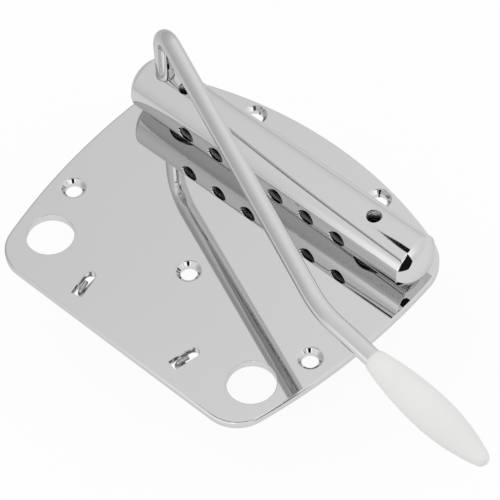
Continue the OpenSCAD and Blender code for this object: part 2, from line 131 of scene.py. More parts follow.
def eased(corners, reach):
    """A profile with each inner corner cut back by reach and replaced by three points of a
    parabola, which rounds it."""
    p = np.asarray(corners, float)
    before, here, after = p[:-2], p[1:-1], p[2:]
    a = here + reach * unit_rows(before - here)
    b = here + reach * unit_rows(after - here)
    middle = a / 4 + here / 2 + b / 4
    inner = np.stack([a, middle, b], axis=1).reshape(-1, 2)
    return np.vstack([p[:1], inner, p[-1:]])


def turned(profile, foot, way, sides=64):
    """A profile of (radius, height) turned about an axis from foot along way: each ring is the
    axis point plus the radius times the spokes."""
    profile = np.asarray(profile, float)
    axis = np.asarray(foot, float) + profile[:, 1, None] * unit(way)
    return axis[:, None, :] + profile[:, 0, None, None] * spokes(way, sides)


def carried_frames(path):
    """Unit directions along a path, and two cross vectors that are carried from point to point
    by taking away what lies along the new direction."""
    step = unit_rows(np.diff(path, axis=0))
    way = unit_rows(np.vstack([step[:1], step[:-1] + step[1:], step[-1:]]))
    normal = [across(way[0])[0]]
    for w in way[1:]:
        normal.append(unit(normal[-1] - (normal[-1] @ w) * w))
    normal = np.array(normal)
    return way, normal, np.cross(way, normal)


def tube(path, radius, sides, chamfer):
    """A round rod along a path: each ring is its path point plus the radius times the cosine
    and sine on the carried cross vectors. Both ends close to a point over a small chamfer."""
    path = np.asarray(path, float)
    way, normal, other = carried_frames(path)
    a = angles(sides)[None, :, None]
    spoke = np.cos(a) * normal[:, None, :] + np.sin(a) * other[:, None, :]
    rings = path[:, None, :] + radius * spoke
    start = path[0] + (radius - chamfer) * spoke[0]
    end = path[-1] + (radius - chamfer) * spoke[-1]
    rings[0] += chamfer * way[0]
    rings[-1] -= chamfer * way[-1]
    first = np.repeat(path[:1], sides, axis=0)[None]
    last = np.repeat(path[-1:], sides, axis=0)[None]
    return np.concatenate([first, start[None], rings, end[None], last])


def bend(corner, before, after, radius, steps):
    """Points on the arc that rounds a corner between two straight stretches: it starts and
    ends at radius times the tangent of half the turn from the corner."""
    a, b = unit(corner - before), unit(after - corner)
    turn = math.acos(float(np.clip(a @ b, -1, 1)))
    cut = radius * math.tan(turn / 2)
    inward = unit(b - (a @ b) * a)
    centre = corner - cut * a + radius * inward
    t = np.linspace(0, turn, steps)[:, None]
    return centre + radius * (np.sin(t) * a - np.cos(t) * inward)


def make_mesh(name, points, faces, sharp, uv=None):
    """A mesh in metres from points in millimetres, with doubled points merged and the faces
    turned outwards. Edges that bend by more than sharp degrees stay sharp."""
    mesh = bpy.data.meshes.new(name)
    mesh.from_pydata((points * MM).tolist(), [], faces.tolist())
    if uv is not None:
        layer = mesh.uv_layers.new(name="along")
        corner = np.zeros(len(mesh.loops), np.int32)
        mesh.loops.foreach_get("vertex_index", corner)
        layer.data.foreach_set("uv", uv[corner].ravel())
    bm = bmesh.new()
    bm.from_mesh(mesh)
    bmesh.ops.remove_doubles(bm, verts=bm.verts, dist=1e-7)
    bmesh.ops.dissolve_degenerate(bm, edges=bm.edges, dist=1e-8)
    bmesh.ops.recalc_face_normals(bm, faces=bm.faces)
    bm.to_mesh(mesh)
    bm.free()
    mesh.shade_smooth()
    mesh.set_sharp_from_angle(angle=math.radians(sharp))
    return mesh


def grid_faces(rows, sides):
    """Quads between each ring of a grid and the next, closed round the ring."""
    i = np.arange(rows - 1)[:, None] * sides
    j = np.arange(sides)[None, :]
    k = (j + 1) % sides
    return np.stack([i + j, i + k, i + sides + k, i + sides + j], axis=-1).reshape(-1, 4)


def add_object(name, data):
    made = bpy.data.objects.new(name, data)
    bpy.context.scene.collection.objects.link(made)
    return made


def put(name, mesh, finish, body, stands_for=()):
    """Puts a finished mesh in the scene as a piece that rides on a body, or on none where it lies
    between two."""
    piece = add_object(name, mesh)
    mesh.materials.clear()
    mesh.materials.append(finish)
    if body:
        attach(piece, body)
    if stands_for:
        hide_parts(*stands_for)
    return piece


def rings_piece(name, rings, finish, body, stands_for=(), sharp=35, uv=None):
    """A piece whose surface is a grid of closed rings."""
    rows, sides = rings.shape[:2]
    mesh = make_mesh(name, rings.reshape(-1, 3), grid_faces(rows, sides), sharp, uv)
    return put(name, mesh, finish, body, stands_for)


# ---- Materials ----

class Link:
    """An output in a shader tree. An expression on it adds the Math nodes that work it out."""

    def __init__(self, finish, socket):
        self.finish, self.socket = finish, socket

    def math(self, operation, *values):
        return self.finish.node("ShaderNodeMath", {"operation": operation},
                                dict(enumerate(values)))

    def __add__(self, other):
        return self.math("ADD", self, other)

    def __sub__(self, other):
        return self.math("SUBTRACT", self, other)

    def __rsub__(self, other):
        return self.math("SUBTRACT", other, self)

    def __mul__(self, other):
        return self.math("MULTIPLY", self, other)

    def __pow__(self, other):
        return self.math("POWER", self, other)

    def __neg__(self):
        return self.math("MULTIPLY", self, -1.0)

    def __abs__(self):
        return self.math("ABSOLUTE", self)

    def or_larger(self, other):
        return self.math("MAXIMUM", self, other)

    def also(self, output):
        """Another output of the same node."""
        return Link(self.finish, self.socket.node.outputs[output])

    __radd__ = __add__
    __rmul__ = __mul__


class Finish:
    """A tree of shader nodes, on a material or on the world."""

    def __init__(self, tree):
        self.tree = tree
        tree.nodes.clear()

    def node(self, kind, settings=None, inputs=None, output=0):
        """Makes any node: its settings first, then the values or links of its sockets."""
        made = self.tree.nodes.new(kind)
        for key, value in (settings or {}).items():
            setattr(made, key, value)
        for key, value in (inputs or {}).items():
            if isinstance(value, Link):
                self.tree.links.new(value.socket, made.inputs[key])
            else:
                made.inputs[key].default_value = value
        return Link(self, made.outputs[output]) if made.outputs else None

    def place(self, scale=(1, 1, 1), turn=(0, 0, 0)):
        """Object coordinates, scaled and turned."""
        spot = self.node("ShaderNodeTexCoord", output="Object")
        return self.node("ShaderNodeMapping", {}, {
            "Vector": spot, "Scale": scale, "Rotation": turn})

    def parts(self, coordinates="Object"):
        """The X, Y and Z of texture coordinates."""
        x = self.node("ShaderNodeSeparateXYZ", {}, {
            "Vector": self.node("ShaderNodeTexCoord", output=coordinates)})
        return x, x.also("Y"), x.also("Z")

    def noise(self, where, scale, detail):
        return self.node("ShaderNodeTexNoise", {}, {
            "Vector": where, "Scale": scale, "Detail": detail})

    def ramp(self, value, low, high, at_low=0.0, at_high=1.0):
        """A number that goes from at_low to at_high as value goes from low to high."""
        return self.node("ShaderNodeMapRange", {"interpolation_type": "SMOOTHSTEP"}, {
            "Value": value, "From Min": low, "From Max": high, "To Min": at_low,
            "To Max": at_high})

    def fall(self, value, low, high):
        """A number that goes from 1 to 0 as value goes from low to high."""
        return self.ramp(value, low, high, 1.0, 0.0)

    def blend(self, amount, a, b):
        """Colour a turning to colour b as amount goes from 0 to 1."""
        return self.node("ShaderNodeMix", {"data_type": "RGBA"}, {"Factor": amount, 6: a, 7: b},
                         output=2)

    def bump(self, height, distance, strength=1.0):
        return self.node("ShaderNodeBump", {}, {
            "Height": height, "Distance": distance, "Strength": strength})

    def end(self, shader, of="Material"):
        """Ends the tree of a Material or the World in a shader."""
        self.node("ShaderNodeOutput" + of, {}, {"Surface": shader})

    def surface(self, **sockets):
        """Ends a material in a Principled shader. An underline in a socket's name is a space."""
        named = {key.replace("_", " "): value for key, value in sockets.items()}
        self.end(self.node("ShaderNodeBsdfPrincipled", {}, named))

    def ray(self, kind):
        """1 where a Camera, Glossy or Transmission ray looks, and 0 elsewhere."""
        return self.node("ShaderNodeLightPath", output="Is " + kind + " Ray")

    def shine(self, kind, colour, strength=1.0):
        """A shader that gives off light: Emission on a mesh, or Background on the world."""
        return self.node("ShaderNode" + kind, {}, {"Color": colour, "Strength": strength})

    def either(self, share, a, b):
        """Shader a turning to shader b as share goes from 0 to 1."""
        return self.node("ShaderNodeMixShader", {}, {0: share, 1: a, 2: b})


def material(name):
    made = bpy.data.materials.new(name)
    made.use_nodes = True
    return made, Finish(made.node_tree)


def grey(level):
    return level, level, level, 1


def chrome(name, wave, bored=False):
    """Polished chrome plate: a slow waviness left by buffing, faint hazy smudges and hairline
    rubbing marks that only change the roughness. On the bored bar the walls of the holes are
    rougher and painted a lighter grey, and deeper down a near-black painted shade darkens them by
    depth."""
    made, f = material(name)
    at = f.place()
    rubbed = f.place(scale=(1, 9, 1), turn=(0, 0, 0.5))
    haze = f.ramp(f.noise(at, scale=38.0, detail=4.0), 0.5, 0.75)
    hair = f.ramp(f.noise(rubbed, scale=700.0, detail=2.0), 0.62, 0.8)
    wavy = f.noise(at, scale=55.0, detail=1.0)
    plating = f.blend(f.noise(at, scale=14.0, detail=2.0), grey(0.635), grey(0.665))
    rough = 0.03 + haze * 0.04 + hair * 0.03
    if bored:
        x, y, z = f.parts()
        y, z = y - BAR_Y * MM, z - BAR_Z * MM
        # Depth below the round side: the hole walls turn rougher and painted lighter a little
        # below the mouth, and deeper down a near-black painted shade takes over
        depth = BAR_R * MM - (y * y + z * z) ** 0.5
        between_domes = f.fall(abs(x), (BAR_RIM - 0.8) * MM, (BAR_RIM - 0.4) * MM)
        dull_and_lightened = f.ramp(depth, 0.4 * MM, 0.7 * MM) * between_domes
        ragged = f.noise(at, scale=400.0, detail=3.0) * (0.4 * MM)
        painted_deep_shade = f.ramp(depth + ragged, 1.1 * MM, 2.2 * MM) * between_domes
        # A lighter grey painted onto the hole walls, and a near-black painted shade deep in the
        # holes
        lightened_wall_plating, painted_shade_black = grey(0.85), (0.05, 0.05, 0.052, 1)
        plating = f.blend(painted_deep_shade, f.blend(dull_and_lightened, plating, lightened_wall_plating), painted_shade_black)
        rough = rough + dull_and_lightened * 0.5
    f.surface(Base_Color=plating, Metallic=1.0, Roughness=rough, Specular_Tint=grey(0.76),
              Normal=f.bump(wavy, distance=wave))
    return made


def turned_steel(name, tint, rough):
    """Turned steel: fine rings about the upright axis, with slightly uneven brightness."""
    made, f = material(name)
    rings = f.noise(f.place(scale=(1, 1, 60)), scale=60.0, detail=3.0)
    patch = f.noise(f.place(), scale=120.0, detail=3.0)
    darker = [0.86 * c for c in tint]
    steel = f.blend(patch, (*darker, 1), (*tint, 1))
    f.surface(Base_Color=steel, Metallic=1.0, Roughness=rough + rings * 0.12,
              Normal=f.bump(rings, distance=4e-6))
    return made


def black_screw(name):
    """Blackened steel, rubbed brighter in spots."""
    made, f = material(name)
    blackened, rubbed = (0.035, 0.035, 0.04, 1), (0.16, 0.16, 0.17, 1)
    rub = f.ramp(f.noise(f.place(), scale=900.0, detail=4.0), 0.52, 0.7)
    grit = f.noise(f.place(), scale=2500.0, detail=2.0)
    f.surface(Base_Color=f.blend(rub, blackened, rubbed), Metallic=0.85,
              Roughness=0.42 - rub * 0.14, Normal=f.bump(grit, distance=6e-6))
    return made


def spring_wire(name):
    """Drawn spring wire: lines along the wire, read from the piece's own map, which is in
    millimetres along the wire and goes from 0 to 1 round it."""
    made, f = material(name)
    along = f.node("ShaderNodeUVMap", {"uv_map": "along"})
    drawn_out = f.node("ShaderNodeMapping", {}, {"Vector": along, "Scale": (0.4, 26, 1)})
    line = f.noise(drawn_out, scale=8.0, detail=2.0)
    wire = f.blend(line, (0.36, 0.36, 0.37, 1), grey(0.5))
    f.surface(Base_Color=wire, Metallic=1.0, Roughness=0.24 + line * 0.16,
              Normal=f.bump(line, distance=3e-6))
    return made


def white_plastic(name):
    """Moulded white plastic: a little uneven in colour, with a fine satin skin."""
    made, f = material(name)
    patch = f.noise(f.place(), scale=90.0, detail=3.0)
    skin = f.noise(f.place(), scale=1600.0, detail=2.0)
    white = f.blend(patch, (0.79, 0.785, 0.765, 1), (0.84, 0.838, 0.825, 1))
    f.surface(Base_Color=white, Roughness=0.4 + skin * 0.1,
              Normal=f.bump(skin, distance=6e-6, strength=0.5))
    return made


PLATE_CHROME = chrome("plate chrome", wave=6e-6)
BAR_CHROME = chrome("bar chrome", wave=4e-6, bored=True)
ARM_CHROME = chrome("arm chrome", wave=3e-6)
# The posts are tinted near black, which paints the shade in the crescents of the post holes under
# the bar
POST_STEEL = turned_steel("post steel", tint=(0.05, 0.05, 0.052), rough=0.3)
THREAD_STEEL = turned_steel("thread steel", tint=(0.36, 0.36, 0.362), rough=0.1)
SCREW_STEEL = black_screw("screw steel")
SPRING_STEEL = spring_wire("spring steel")
TIP_PLASTIC = white_plastic("tip plastic")


# ---- Plate and bar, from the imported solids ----

def merged_copy(node, on_rim, rounding):
    """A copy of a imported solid's mesh with its loose triangles joined, the edges that on_rim
    picks by their two ends rounded, and the corner normals that a limit between smooth and
    sharp gives it."""
    flat_limit, edge_limit, smooth_limit = (math.radians(a) for a in (0.05, 25, 30))
    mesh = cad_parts[node].data.copy()
    bm = bmesh.new()
    bm.from_mesh(mesh)
    bmesh.ops.remove_doubles(bm, verts=bm.verts, dist=1e-7)
    bmesh.ops.dissolve_limit(bm, angle_limit=flat_limit, verts=[], edges=bm.edges)
    rim = [e for e in bm.edges
           if len(e.link_faces) == 2 and e.calc_face_angle(0) > edge_limit
           and all(on_rim(v.co / MM) for v in e.verts)]
    bmesh.ops.bevel(bm, geom=rim, offset=rounding * MM, segments=2, profile=0.5, affect="EDGES")
    bmesh.ops.triangulate(bm, faces=bm.faces)
    bm.to_mesh(mesh)
    bm.free()
    mesh.shade_smooth()
    mesh.set_sharp_from_angle(angle=smooth_limit)
    return mesh


def corners_of(mesh):
    """Per corner of each triangle: place in millimetres, normal, and the triangle's own
    normal."""
    spots = np.zeros(len(mesh.vertices) * 3, np.float32)
    mesh.vertices.foreach_get("co", spots)
    index = np.zeros(len(mesh.loops), np.int32)
    mesh.loops.foreach_get("vertex_index", index)
    normals = np.zeros(len(mesh.loops) * 3, np.float32)
    mesh.corner_normals.foreach_get("vector", normals)
    spot = spots.reshape(-1, 3)[index].astype(float) / MM
    a, b, c = spot[0::3], spot[1::3], spot[2::3]
    flat = unit_rows(np.cross(b - a, c - a))
    return spot, normals.reshape(-1, 3).astype(float), np.repeat(flat, 3, axis=0)


def whole_faces(mask):
    """Narrows a mask by corner to faces: true where it is at all three corners of a triangle."""
    return np.repeat(mask.reshape(-1, 3).all(axis=1), 3)


def turned_walls(spot, flat, normal, centre, way, low, high, slope=0.0):
    """Gives the wall of a round hole its exact normals. The wall lies between two radii from
    the axis through centre along way. A normal is the unit vector to the axis, tipped outwards
    along way by slope, which is 0 for a bore and the root of a half for a 45 degree cone."""
    spare_r, spare_slope, least_inward = 0.03, 0.12, 0.3
    way = unit(way)
    out = spot - centre
    out = out - (out @ way)[:, None] * way
    r = np.linalg.norm(out, axis=1)
    inward = -unit_rows(out)
    wall = whole_faces((r > low - spare_r) & (r < high + spare_r))
    wall &= np.abs(flat @ way - slope) < spare_slope
    wall &= (flat * inward).sum(axis=1) > least_inward
    normal[wall] = (math.sqrt(1 - slope ** 2) * inward + slope * way)[wall]


def plate_mesh():
    """The plate. Its flat faces and the walls of its slots get their exact normals, so that
    they mirror cleanly, and the rounding meets them without a crease. The upper rims of its
    holes are eased, but for those of the two knife-edged ones under the bar, and so is the
    lower rim of its outline."""
    holes = [(x, y, BRIDGE_HOLE_R, 0) for x, y in BRIDGE_HOLES]
    holes += [(x, y, SHANK_R, HEAD_R) for x, y in SCREW_HOLES]
    inner_x, inner_y, knife_y, beyond_hole = 41, (-10, 60), (40, 62), 1
    slot_x, slot_room_x, slot_room_y, flat_side, slot_side = 18.5, 6, 9, 0.999, 0.01

    def on_rim(p):
        if abs(p.z) < NEAR:
            inner = abs(p.x) <= inner_x and inner_y[0] <= p.y <= inner_y[1]
            return not inner and all(
                math.hypot(p.x - x, p.y - y) > r + beyond_hole for x, y, r, _ in holes)
        return abs(p.z - PLATE_T) < NEAR and not knife_y[0] <= p.y <= knife_y[1]

    mesh = merged_copy("base_plate", on_rim, HOLE_ROUND)
    spot, normal, flat = corners_of(mesh)
    normal[flat[:, 2] > flat_side] = (0, 0, 1)
    normal[flat[:, 2] < -flat_side] = (0, 0, -1)
    in_slot = np.abs(np.abs(spot[:, 0]) - slot_x) < slot_room_x
    in_slot &= np.abs(spot[:, 1]) < slot_room_y
    in_slot &= np.abs(flat[:, 2]) < slot_side
    normal[in_slot] = flat[in_slot]
    for x, y, r, head_r in holes:
        turned_walls(spot, flat, normal, (x, y, 0), UP, r, r)
        if head_r:
            turned_walls(spot, flat, normal, (x, y, 0), UP, r, head_r, CONE)
    return mesh, normal


def bar_mesh():
    """The string bar. On its round side a normal points straight out from the axis, on a domed
    end from the centre of the sphere, and on the eased rim it turns from one to the other."""
    spare_side, spare_dome, facing = 0.02, 0.04, 0.99
    rim_w, turn_w = 1.2 * DOME_ROUND, 1.7 * DOME_ROUND
    mesh = merged_copy("tailpiece_bar", lambda p: abs(abs(p.x) - BAR_RIM) < NEAR, DOME_ROUND)
    spot, normal, flat = corners_of(mesh)
    out = spot - (0, BAR_Y, BAR_Z)
    spoke = out * (0, 1, 1)
    reach = np.linalg.norm(spoke, axis=1)
    side = whole_faces(np.abs(reach - BAR_R) < spare_side)
    side &= (flat * spoke).sum(axis=1) > facing * BAR_R
    normal[side] = spoke[side]
    for end in (-1, 1):
        ray = out - (end * (BAR_RIM + DOME_H - DOME_R), 0, 0)
        beyond = end * out[:, 0] - BAR_RIM
        dome = np.abs(np.linalg.norm(ray, axis=1) - DOME_R) < spare_dome
        dome = whole_faces(dome & (beyond > DOME_ROUND / 2))
        normal[dome] = ray[dome]
        rim = whole_faces((np.abs(beyond) < rim_w) & (reach > BAR_R - rim_w)) & ~side & ~dome
        share = np.clip((beyond + DOME_ROUND) / turn_w, 0, 1)[:, None]
        blend = (1 - share) * unit_rows(spoke) + share * ray / DOME_R
        normal[rim] = blend[rim]
    for i in range(STRINGS):
        at = ((i - (STRINGS - 1) / 2) * STRING_PITCH, BAR_Y, BAR_Z)
        for way in ((0, -1, 0), TAILWARD):
            turned_walls(spot, flat, normal, at, way, MOUTH_R, MOUTH_R + 2 * HOLE_CHAMFER, CONE)
        for r in (MOUTH_R, PASSAGE_R):
            turned_walls(spot, flat, normal, at, TAILWARD, r, r)
    turned_walls(spot, flat, normal, ARM_FOOT, UP, ARM_HOLE_R, ARM_HOLE_R)
    turned_walls(spot, flat, normal, ARM_FOOT, UP, ARM_HOLE_R, ARM_HOLE_R + 2 * HOLE_CHAMFER,
                 CONE)
    for x in (-POST_X, POST_X):
        turned_walls(spot, flat, normal, (x, BAR_Y, 0), UP, HEIGHT_HOLE_R, HEIGHT_HOLE_R)
    return mesh, normal


def add_polished(node, shape, finish, body):
    """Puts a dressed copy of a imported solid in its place."""
    mesh, normal = shape()
    mesh.normals_split_custom_set(unit_rows(normal).tolist())
    put(node + "_polished", mesh, finish, body, [node])


# ---- Arm and tip ----

TIP_WAY = unit(TIP_END - ARM_DOGLEG)
TIP_BASE = TIP_END - TIP_WAY * TIP_L


def arm_path():
    """The rod's centre line: up the stub, round the bend, along the run, round the second,
    gentler bend and on into the tip."""
    up_the_stub = (0, 0, 8.0)
    return np.vstack([ARM_FOOT, ARM_FOOT + up_the_stub,
                      bend(ARM_CORNER, ARM_FOOT, ARM_DOGLEG, STUB_BEND_R, steps=28),
                      bend(ARM_DOGLEG, ARM_CORNER, TIP_END, DOGLEG_R, steps=24),
                      TIP_BASE + TIP_WAY * ROD_IN_TIP])


def tip_profile():
    """Half section of the tip: its socket, a chamfered base, a long swell to the thickest
    place and a long fall to a small round end. The curves are arcs, each tangent to the next."""
    tip_r, belly, base_r, nose_r, chamfer = 5.05, 20.4, 97.0, 60.0, 0.5
    socket_r, socket_l, mouth = 2.52, 14, 0.25
    reach = TIP_L - belly
    nose_x = tip_r - nose_r
    end_r = (nose_r ** 2 - nose_x ** 2 - reach ** 2) / (2 * (nose_r - reach))
    meet = math.atan2(TIP_L - end_r - belly, -nose_x)
    first = -math.asin((belly - chamfer) / base_r)

    def arc(x, z, r, a0, a1, steps):
        a = np.linspace(a0, a1, steps)
        return np.column_stack([x + r * np.cos(a), z + r * np.sin(a)])

    foot_r = tip_r - base_r + base_r * math.cos(first)
    return np.vstack([[0, socket_l], [socket_r, socket_l], [socket_r, mouth],
                      [socket_r + mouth, 0], [foot_r - chamfer, 0],
                      arc(tip_r - base_r, belly, base_r, first, 0, steps=24),
                      arc(nose_x, belly, nose_r, 0, meet, steps=24)[1:],
                      arc(0, TIP_L - end_r, end_r, meet, math.pi / 2, steps=16)[1:]])


def add_arm():
    rod = tube(arm_path(), ARM_R, sides=64, chamfer=0.4)
    tip = turned(tip_profile(), TIP_BASE, TIP_WAY, sides=72)
    rings_piece("tremolo_arm_rod", rod, ARM_CHROME, "arm", ["tremolo_arm"])
    rings_piece("arm_tip_moulded", tip, TIP_PLASTIC, "arm", ["arm_tip"])


# ---- Posts, screws and threads ----

def post_profile():
    """Half section of a post from the top of its neck to its foot, with every edge eased."""
    cut, collar_z = POST_CHAMFER, GROOVE_TOP + GROOVE_LIP
    loop_top, loop_low = LOOP_Z + LOOP_GROOVE_H / 2, LOOP_Z - LOOP_GROOVE_H / 2
    return eased([[0, NECK_TOP], [NECK_R - cut, NECK_TOP], [NECK_R, NECK_TOP - cut],
                  [NECK_R, collar_z + COLLAR_H], [COLLAR_R, collar_z + COLLAR_H],
                  [COLLAR_R, collar_z], [GROOVE_R, GROOVE_TOP], [GROOVE_R, GROOVE_LOW],
                  [COLLAR_R, GROOVE_LOW - GROOVE_LIP], [COLLAR_R, FLANGE_Z],
                  [STEM_R, FLANGE_Z - cut], [STEM_R, loop_top], [LOOP_GROOVE_R, loop_top],
                  [LOOP_GROOVE_R, loop_low], [STEM_R, loop_low], [STEM_R, FOOT_Z + cut],
                  [STEM_R - cut, FOOT_Z], [0, FOOT_Z]], POST_ROUND)


def thread(z, sides, pitch, run_out):
    """A V thread on rings at heights z: how far each point is up its ridge, from 0 in the root
    to 1 at the crest, which climbs one pitch a turn, and how much of the thread is left where
    it runs out at both ends."""
    turn = (z[:, None] / pitch - angles(sides) / (2 * np.pi)) % 1
    left = np.clip(np.minimum(z - z[0], z[-1] - z) / run_out, 0, 1)[:, None]
    return 1 - np.abs(2 * turn - 1), left


def set_screw(foot, way, r, length, key_r, pitch):
    """A headless screw: rings rise from its point at foot to its far end, their radius lowered
    by the root of its thread. The far end steps in to a six-sided socket."""
    sides, rings, point_cut, point_r, root = 48, 61, 0.4, r - 0.6, 0.16 * r
    mouth, mouth_h, key_depth, key_point = 0.15, 0.12, 1.8, 2.1
    z = np.linspace(0, length, rings)
    ridge, left = thread(z, sides, pitch, run_out=0.5)
    body = r - point_cut * (1 - left) - root * (1 - ridge) * left
    a, face = angles(sides), math.pi / 3
    six = key_r * math.cos(face / 2) / np.cos(a % face - face / 2)
    axis = np.zeros(sides)
    radius = np.vstack([axis, np.full(sides, point_r), body, six + mouth, six, six, axis])
    height = np.concatenate([[0, 0], z, [length, length - mouth_h, length - key_depth,
                                         length - key_point]])
    rise = height[:, None, None] * unit(way)
    return np.asarray(foot) + rise + radius[:, :, None] * spokes(way, sides)


def thread_liner(x):
    """The thread in a hole in the top of the bar: a thin sleeve against the wall, whose inner
    radius is lowered by the ridge of the thread."""
    sides, rings_a_turn, ridge_h, inset, overlap = 64, 12, 0.32, 0.03, 0.02
    a = angles(sides)
    spoke = np.column_stack([np.cos(a), np.sin(a), np.zeros(sides)])
    rings = int((LINER_TOP - LINER_LOW) / HEIGHT_PITCH * rings_a_turn) + 1
    z = np.linspace(LINER_LOW, LINER_TOP, rings)
    ridge, left = thread(z, sides, HEIGHT_PITCH, run_out=0.3)
    inner = HEIGHT_HOLE_R - inset - ridge_h * ridge * left
    axis = np.array([x, BAR_Y, 0.0])
    inside = axis + inner[:, :, None] * spoke + z[:, None, None] * np.array(UP)
    outer = axis + (HEIGHT_HOLE_R + overlap) * spoke
    outside = [outer + (0, 0, h) for h in (LINER_TOP, LINER_LOW)]
    return np.concatenate([inside, np.stack(outside), inside[:1]])


def add_screw(name, foot, way, *sizes):
    """A set screw in place of the solid of that name, whose body has the same name."""
    rings_piece(name + "_threaded", set_screw(foot, way, *sizes), SCREW_STEEL, name,
                [name], sharp=30)


def add_posts():
    """The posts, and the screws and threads that sit over and behind them."""
    for side, x in (("treble", -POST_X), ("bass", POST_X)):
        post = "fulcrum_post_" + side
        rings_piece("height_thread_" + side, thread_liner(x), THREAD_STEEL, "bar",
                    sharp=50)
        rings_piece(post + "_turned", turned(post_profile(), (x, BAR_Y, 0), UP), POST_STEEL,
                    "posts", [post], sharp=30)
        add_screw("height_screw_" + side, (x, BAR_Y, NECK_TOP + SCREW_GAP), UP,
                  HEIGHT_SCREW_R, HEIGHT_SCREW_L, HEIGHT_KEY_R, HEIGHT_PITCH)
        add_screw("post_lock_screw_" + side, (x, BAR_Y + NECK_R + SCREW_GAP, LOCK_Z), TAILWARD,
                  LOCK_R, POST_LOCK_L, LOCK_KEY_R, LOCK_PITCH)
    add_screw("arm_lock_screw", (ARM_FOOT[0], BAR_Y + ARM_R + SCREW_GAP, LOCK_Z), TAILWARD,
              LOCK_R, ARM_LOCK_L, LOCK_KEY_R, LOCK_PITCH)


# ---- Springs ----

def spring_path(side):
    """The centre line of a spring in the upright plane through its web and its post: the hook
    over the web, the curls about a straight axis, whose radius grows and shrinks over the first
    and last of them, and the loop round the foot of the post. A point is (way along the plane,
    way to its side, height), and is turned into the object's own axes at the end."""
    coil_shift, hook_rings, curl_rings, swerve_rings, loop_rings = 0.6, 20, 24, 13, 40
    lead = 2 * WIRE_R
    run = np.array([POST_X - WEB_X, BAR_Y - WEB_Y])
    far, way = np.linalg.norm(run), unit(run)
    top, low = WEB_H + HOOK_GAP + WIRE_R, -HOOK_GAP - WIRE_R
    hook_r, loop_r = (top - low) / 2, LOOP_GROOVE_R + HOOK_GAP + WIRE_R
    axis_a, axis_b = np.array([0.0, low]), np.array([far - STEM_R, LOOP_Z])
    along = unit(axis_b - axis_a)
    up = np.array([-along[1], along[0]])
    first = (np.linalg.norm(axis_b - axis_a) - CURLS * CURL_PITCH) / 2 + coil_shift

    def smooth(t):
        return t * t * (3 - 2 * t)

    t = np.linspace(math.pi / 2, 3 * math.pi / 2, hook_rings)
    hook = np.column_stack([hook_r * np.cos(t) - WEB_W / 2, 0 * t,
                            low + hook_r + hook_r * np.sin(t)])
    t = np.linspace(0, CURLS, CURLS * curl_rings + 1)
    grow = COIL_R * smooth(np.minimum(1, np.minimum(t, CURLS - t)))
    rise = grow * np.sin(2 * np.pi * t)
    s = first + t * CURL_PITCH
    curls = np.column_stack([axis_a[0] + s * along[0] + rise * up[0],
                             grow * np.cos(2 * np.pi * t),
                             axis_a[1] + s * along[1] + rise * up[1]])
    t = np.linspace(0, 1, swerve_rings, endpoint=False)
    swerve_a = curls[-1, 0] + lead
    a = swerve_a + (far - swerve_a) * t
    level = np.where(a > axis_b[0], LOOP_Z, low + a * along[1] / along[0])
    swerve = np.column_stack([a, loop_r * smooth(t), level])
    t = np.radians(np.linspace(90, -100, loop_rings))
    loop = np.column_stack([far + loop_r * np.cos(t), loop_r * np.sin(t),
                            np.full(loop_rings, LOOP_Z)])
    tail = loop[-1] + lead * np.array([math.sin(t[-1]), -math.cos(t[-1]), 0])
    line = np.vstack([[WEB_W / 2 + lead, 0, top], [WEB_W / 2, 0, top], hook, curls, swerve,
                      loop, tail])
    axes = np.array([[side * way[0], way[1], 0], [-way[1], side * way[0], 0], UP])
    return (side * WEB_X, WEB_Y, 0) + line @ axes


def add_springs():
    """The springs. Each holds to the plate by its hook and to a post by its loop."""
    sides, bend_from, bend_to = 16, 0.6, 0.92
    for name, side in (("treble", -1), ("bass", 1)):
        path = spring_path(side)
        gone = np.cumsum(np.linalg.norm(np.diff(path, axis=0), axis=1))
        # The tube has two more rings than the path at each end
        along = np.pad(np.concatenate([[0], gone]), 2, mode="edge")
        uv = np.dstack(np.meshgrid(along, np.linspace(0, 1, sides), indexing="ij"))
        wire = tube(path, WIRE_R, sides, chamfer=0.1)
        spring = rings_piece("tension_spring_" + name + "_wound", wire, SPRING_STEEL, None,
                             ["tension_spring_" + name], sharp=50,
                             uv=uv.reshape(-1, 2))
        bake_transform(spring)


# ---- Floor, light and camera ----

def dress_world():
    """White all round for the camera and for mirrors, and a plain pale light for the rest.
    Mirrors see a room that darkens to the west and towards the floor, a wide soft lamp in the
    south-east with a dark lens on it, and a dark strip overhead whose west end is a wedge. The
    numbers are shares of a unit vector to the east, north and up, and a bearing in radians from
    south towards east."""
    world = bpy.data.worlds.new("studio")
    bpy.context.scene.world = world
    world.use_nodes = True
    f = Finish(world.node_tree)
    east, north, height = f.parts("Generated")
    bearing = east.math("ARCTAN2", east, -north)
    room = f.ramp(height, -0.1, 0.6, 0.9, 1.0) * f.ramp(east, -0.86, -0.24, 0.62, 1.0)
    lamp = (f.ramp(bearing, 0.3, 0.5) * f.fall(bearing, 0.7, 2.25)
            * f.ramp(height, 0.24, 0.32) * f.fall(height, 0.8, 0.95))
    off_line = north + 0.16
    wedge = (f.ramp((east + 0.3945) * 16.0 - abs(off_line), -0.01, 0.01)
             * f.fall(off_line * off_line, 0.018, 0.024) * f.ramp(height, 0.7, 0.75))
    lens = (f.fall(abs(bearing - 0.79), 0.2, 0.26)
            * f.ramp(height, 0.52, 0.56) * f.fall(height, 0.66, 0.7))
    glow = f.blend(lamp, f.blend(room, grey(0), grey(1)), grey(1.6))
    glow = f.blend(lens.or_larger(wedge), glow, grey(0.01))
    plain = f.shine("Background", grey(1), 0.8)
    seen = f.either(f.ray("Glossy"), f.shine("Background", grey(1)), f.shine("Background", glow))
    shown = f.ray("Camera").or_larger(f.ray("Glossy").or_larger(f.ray("Transmission")))
    f.end(f.either(shown, plain, seen), "World")


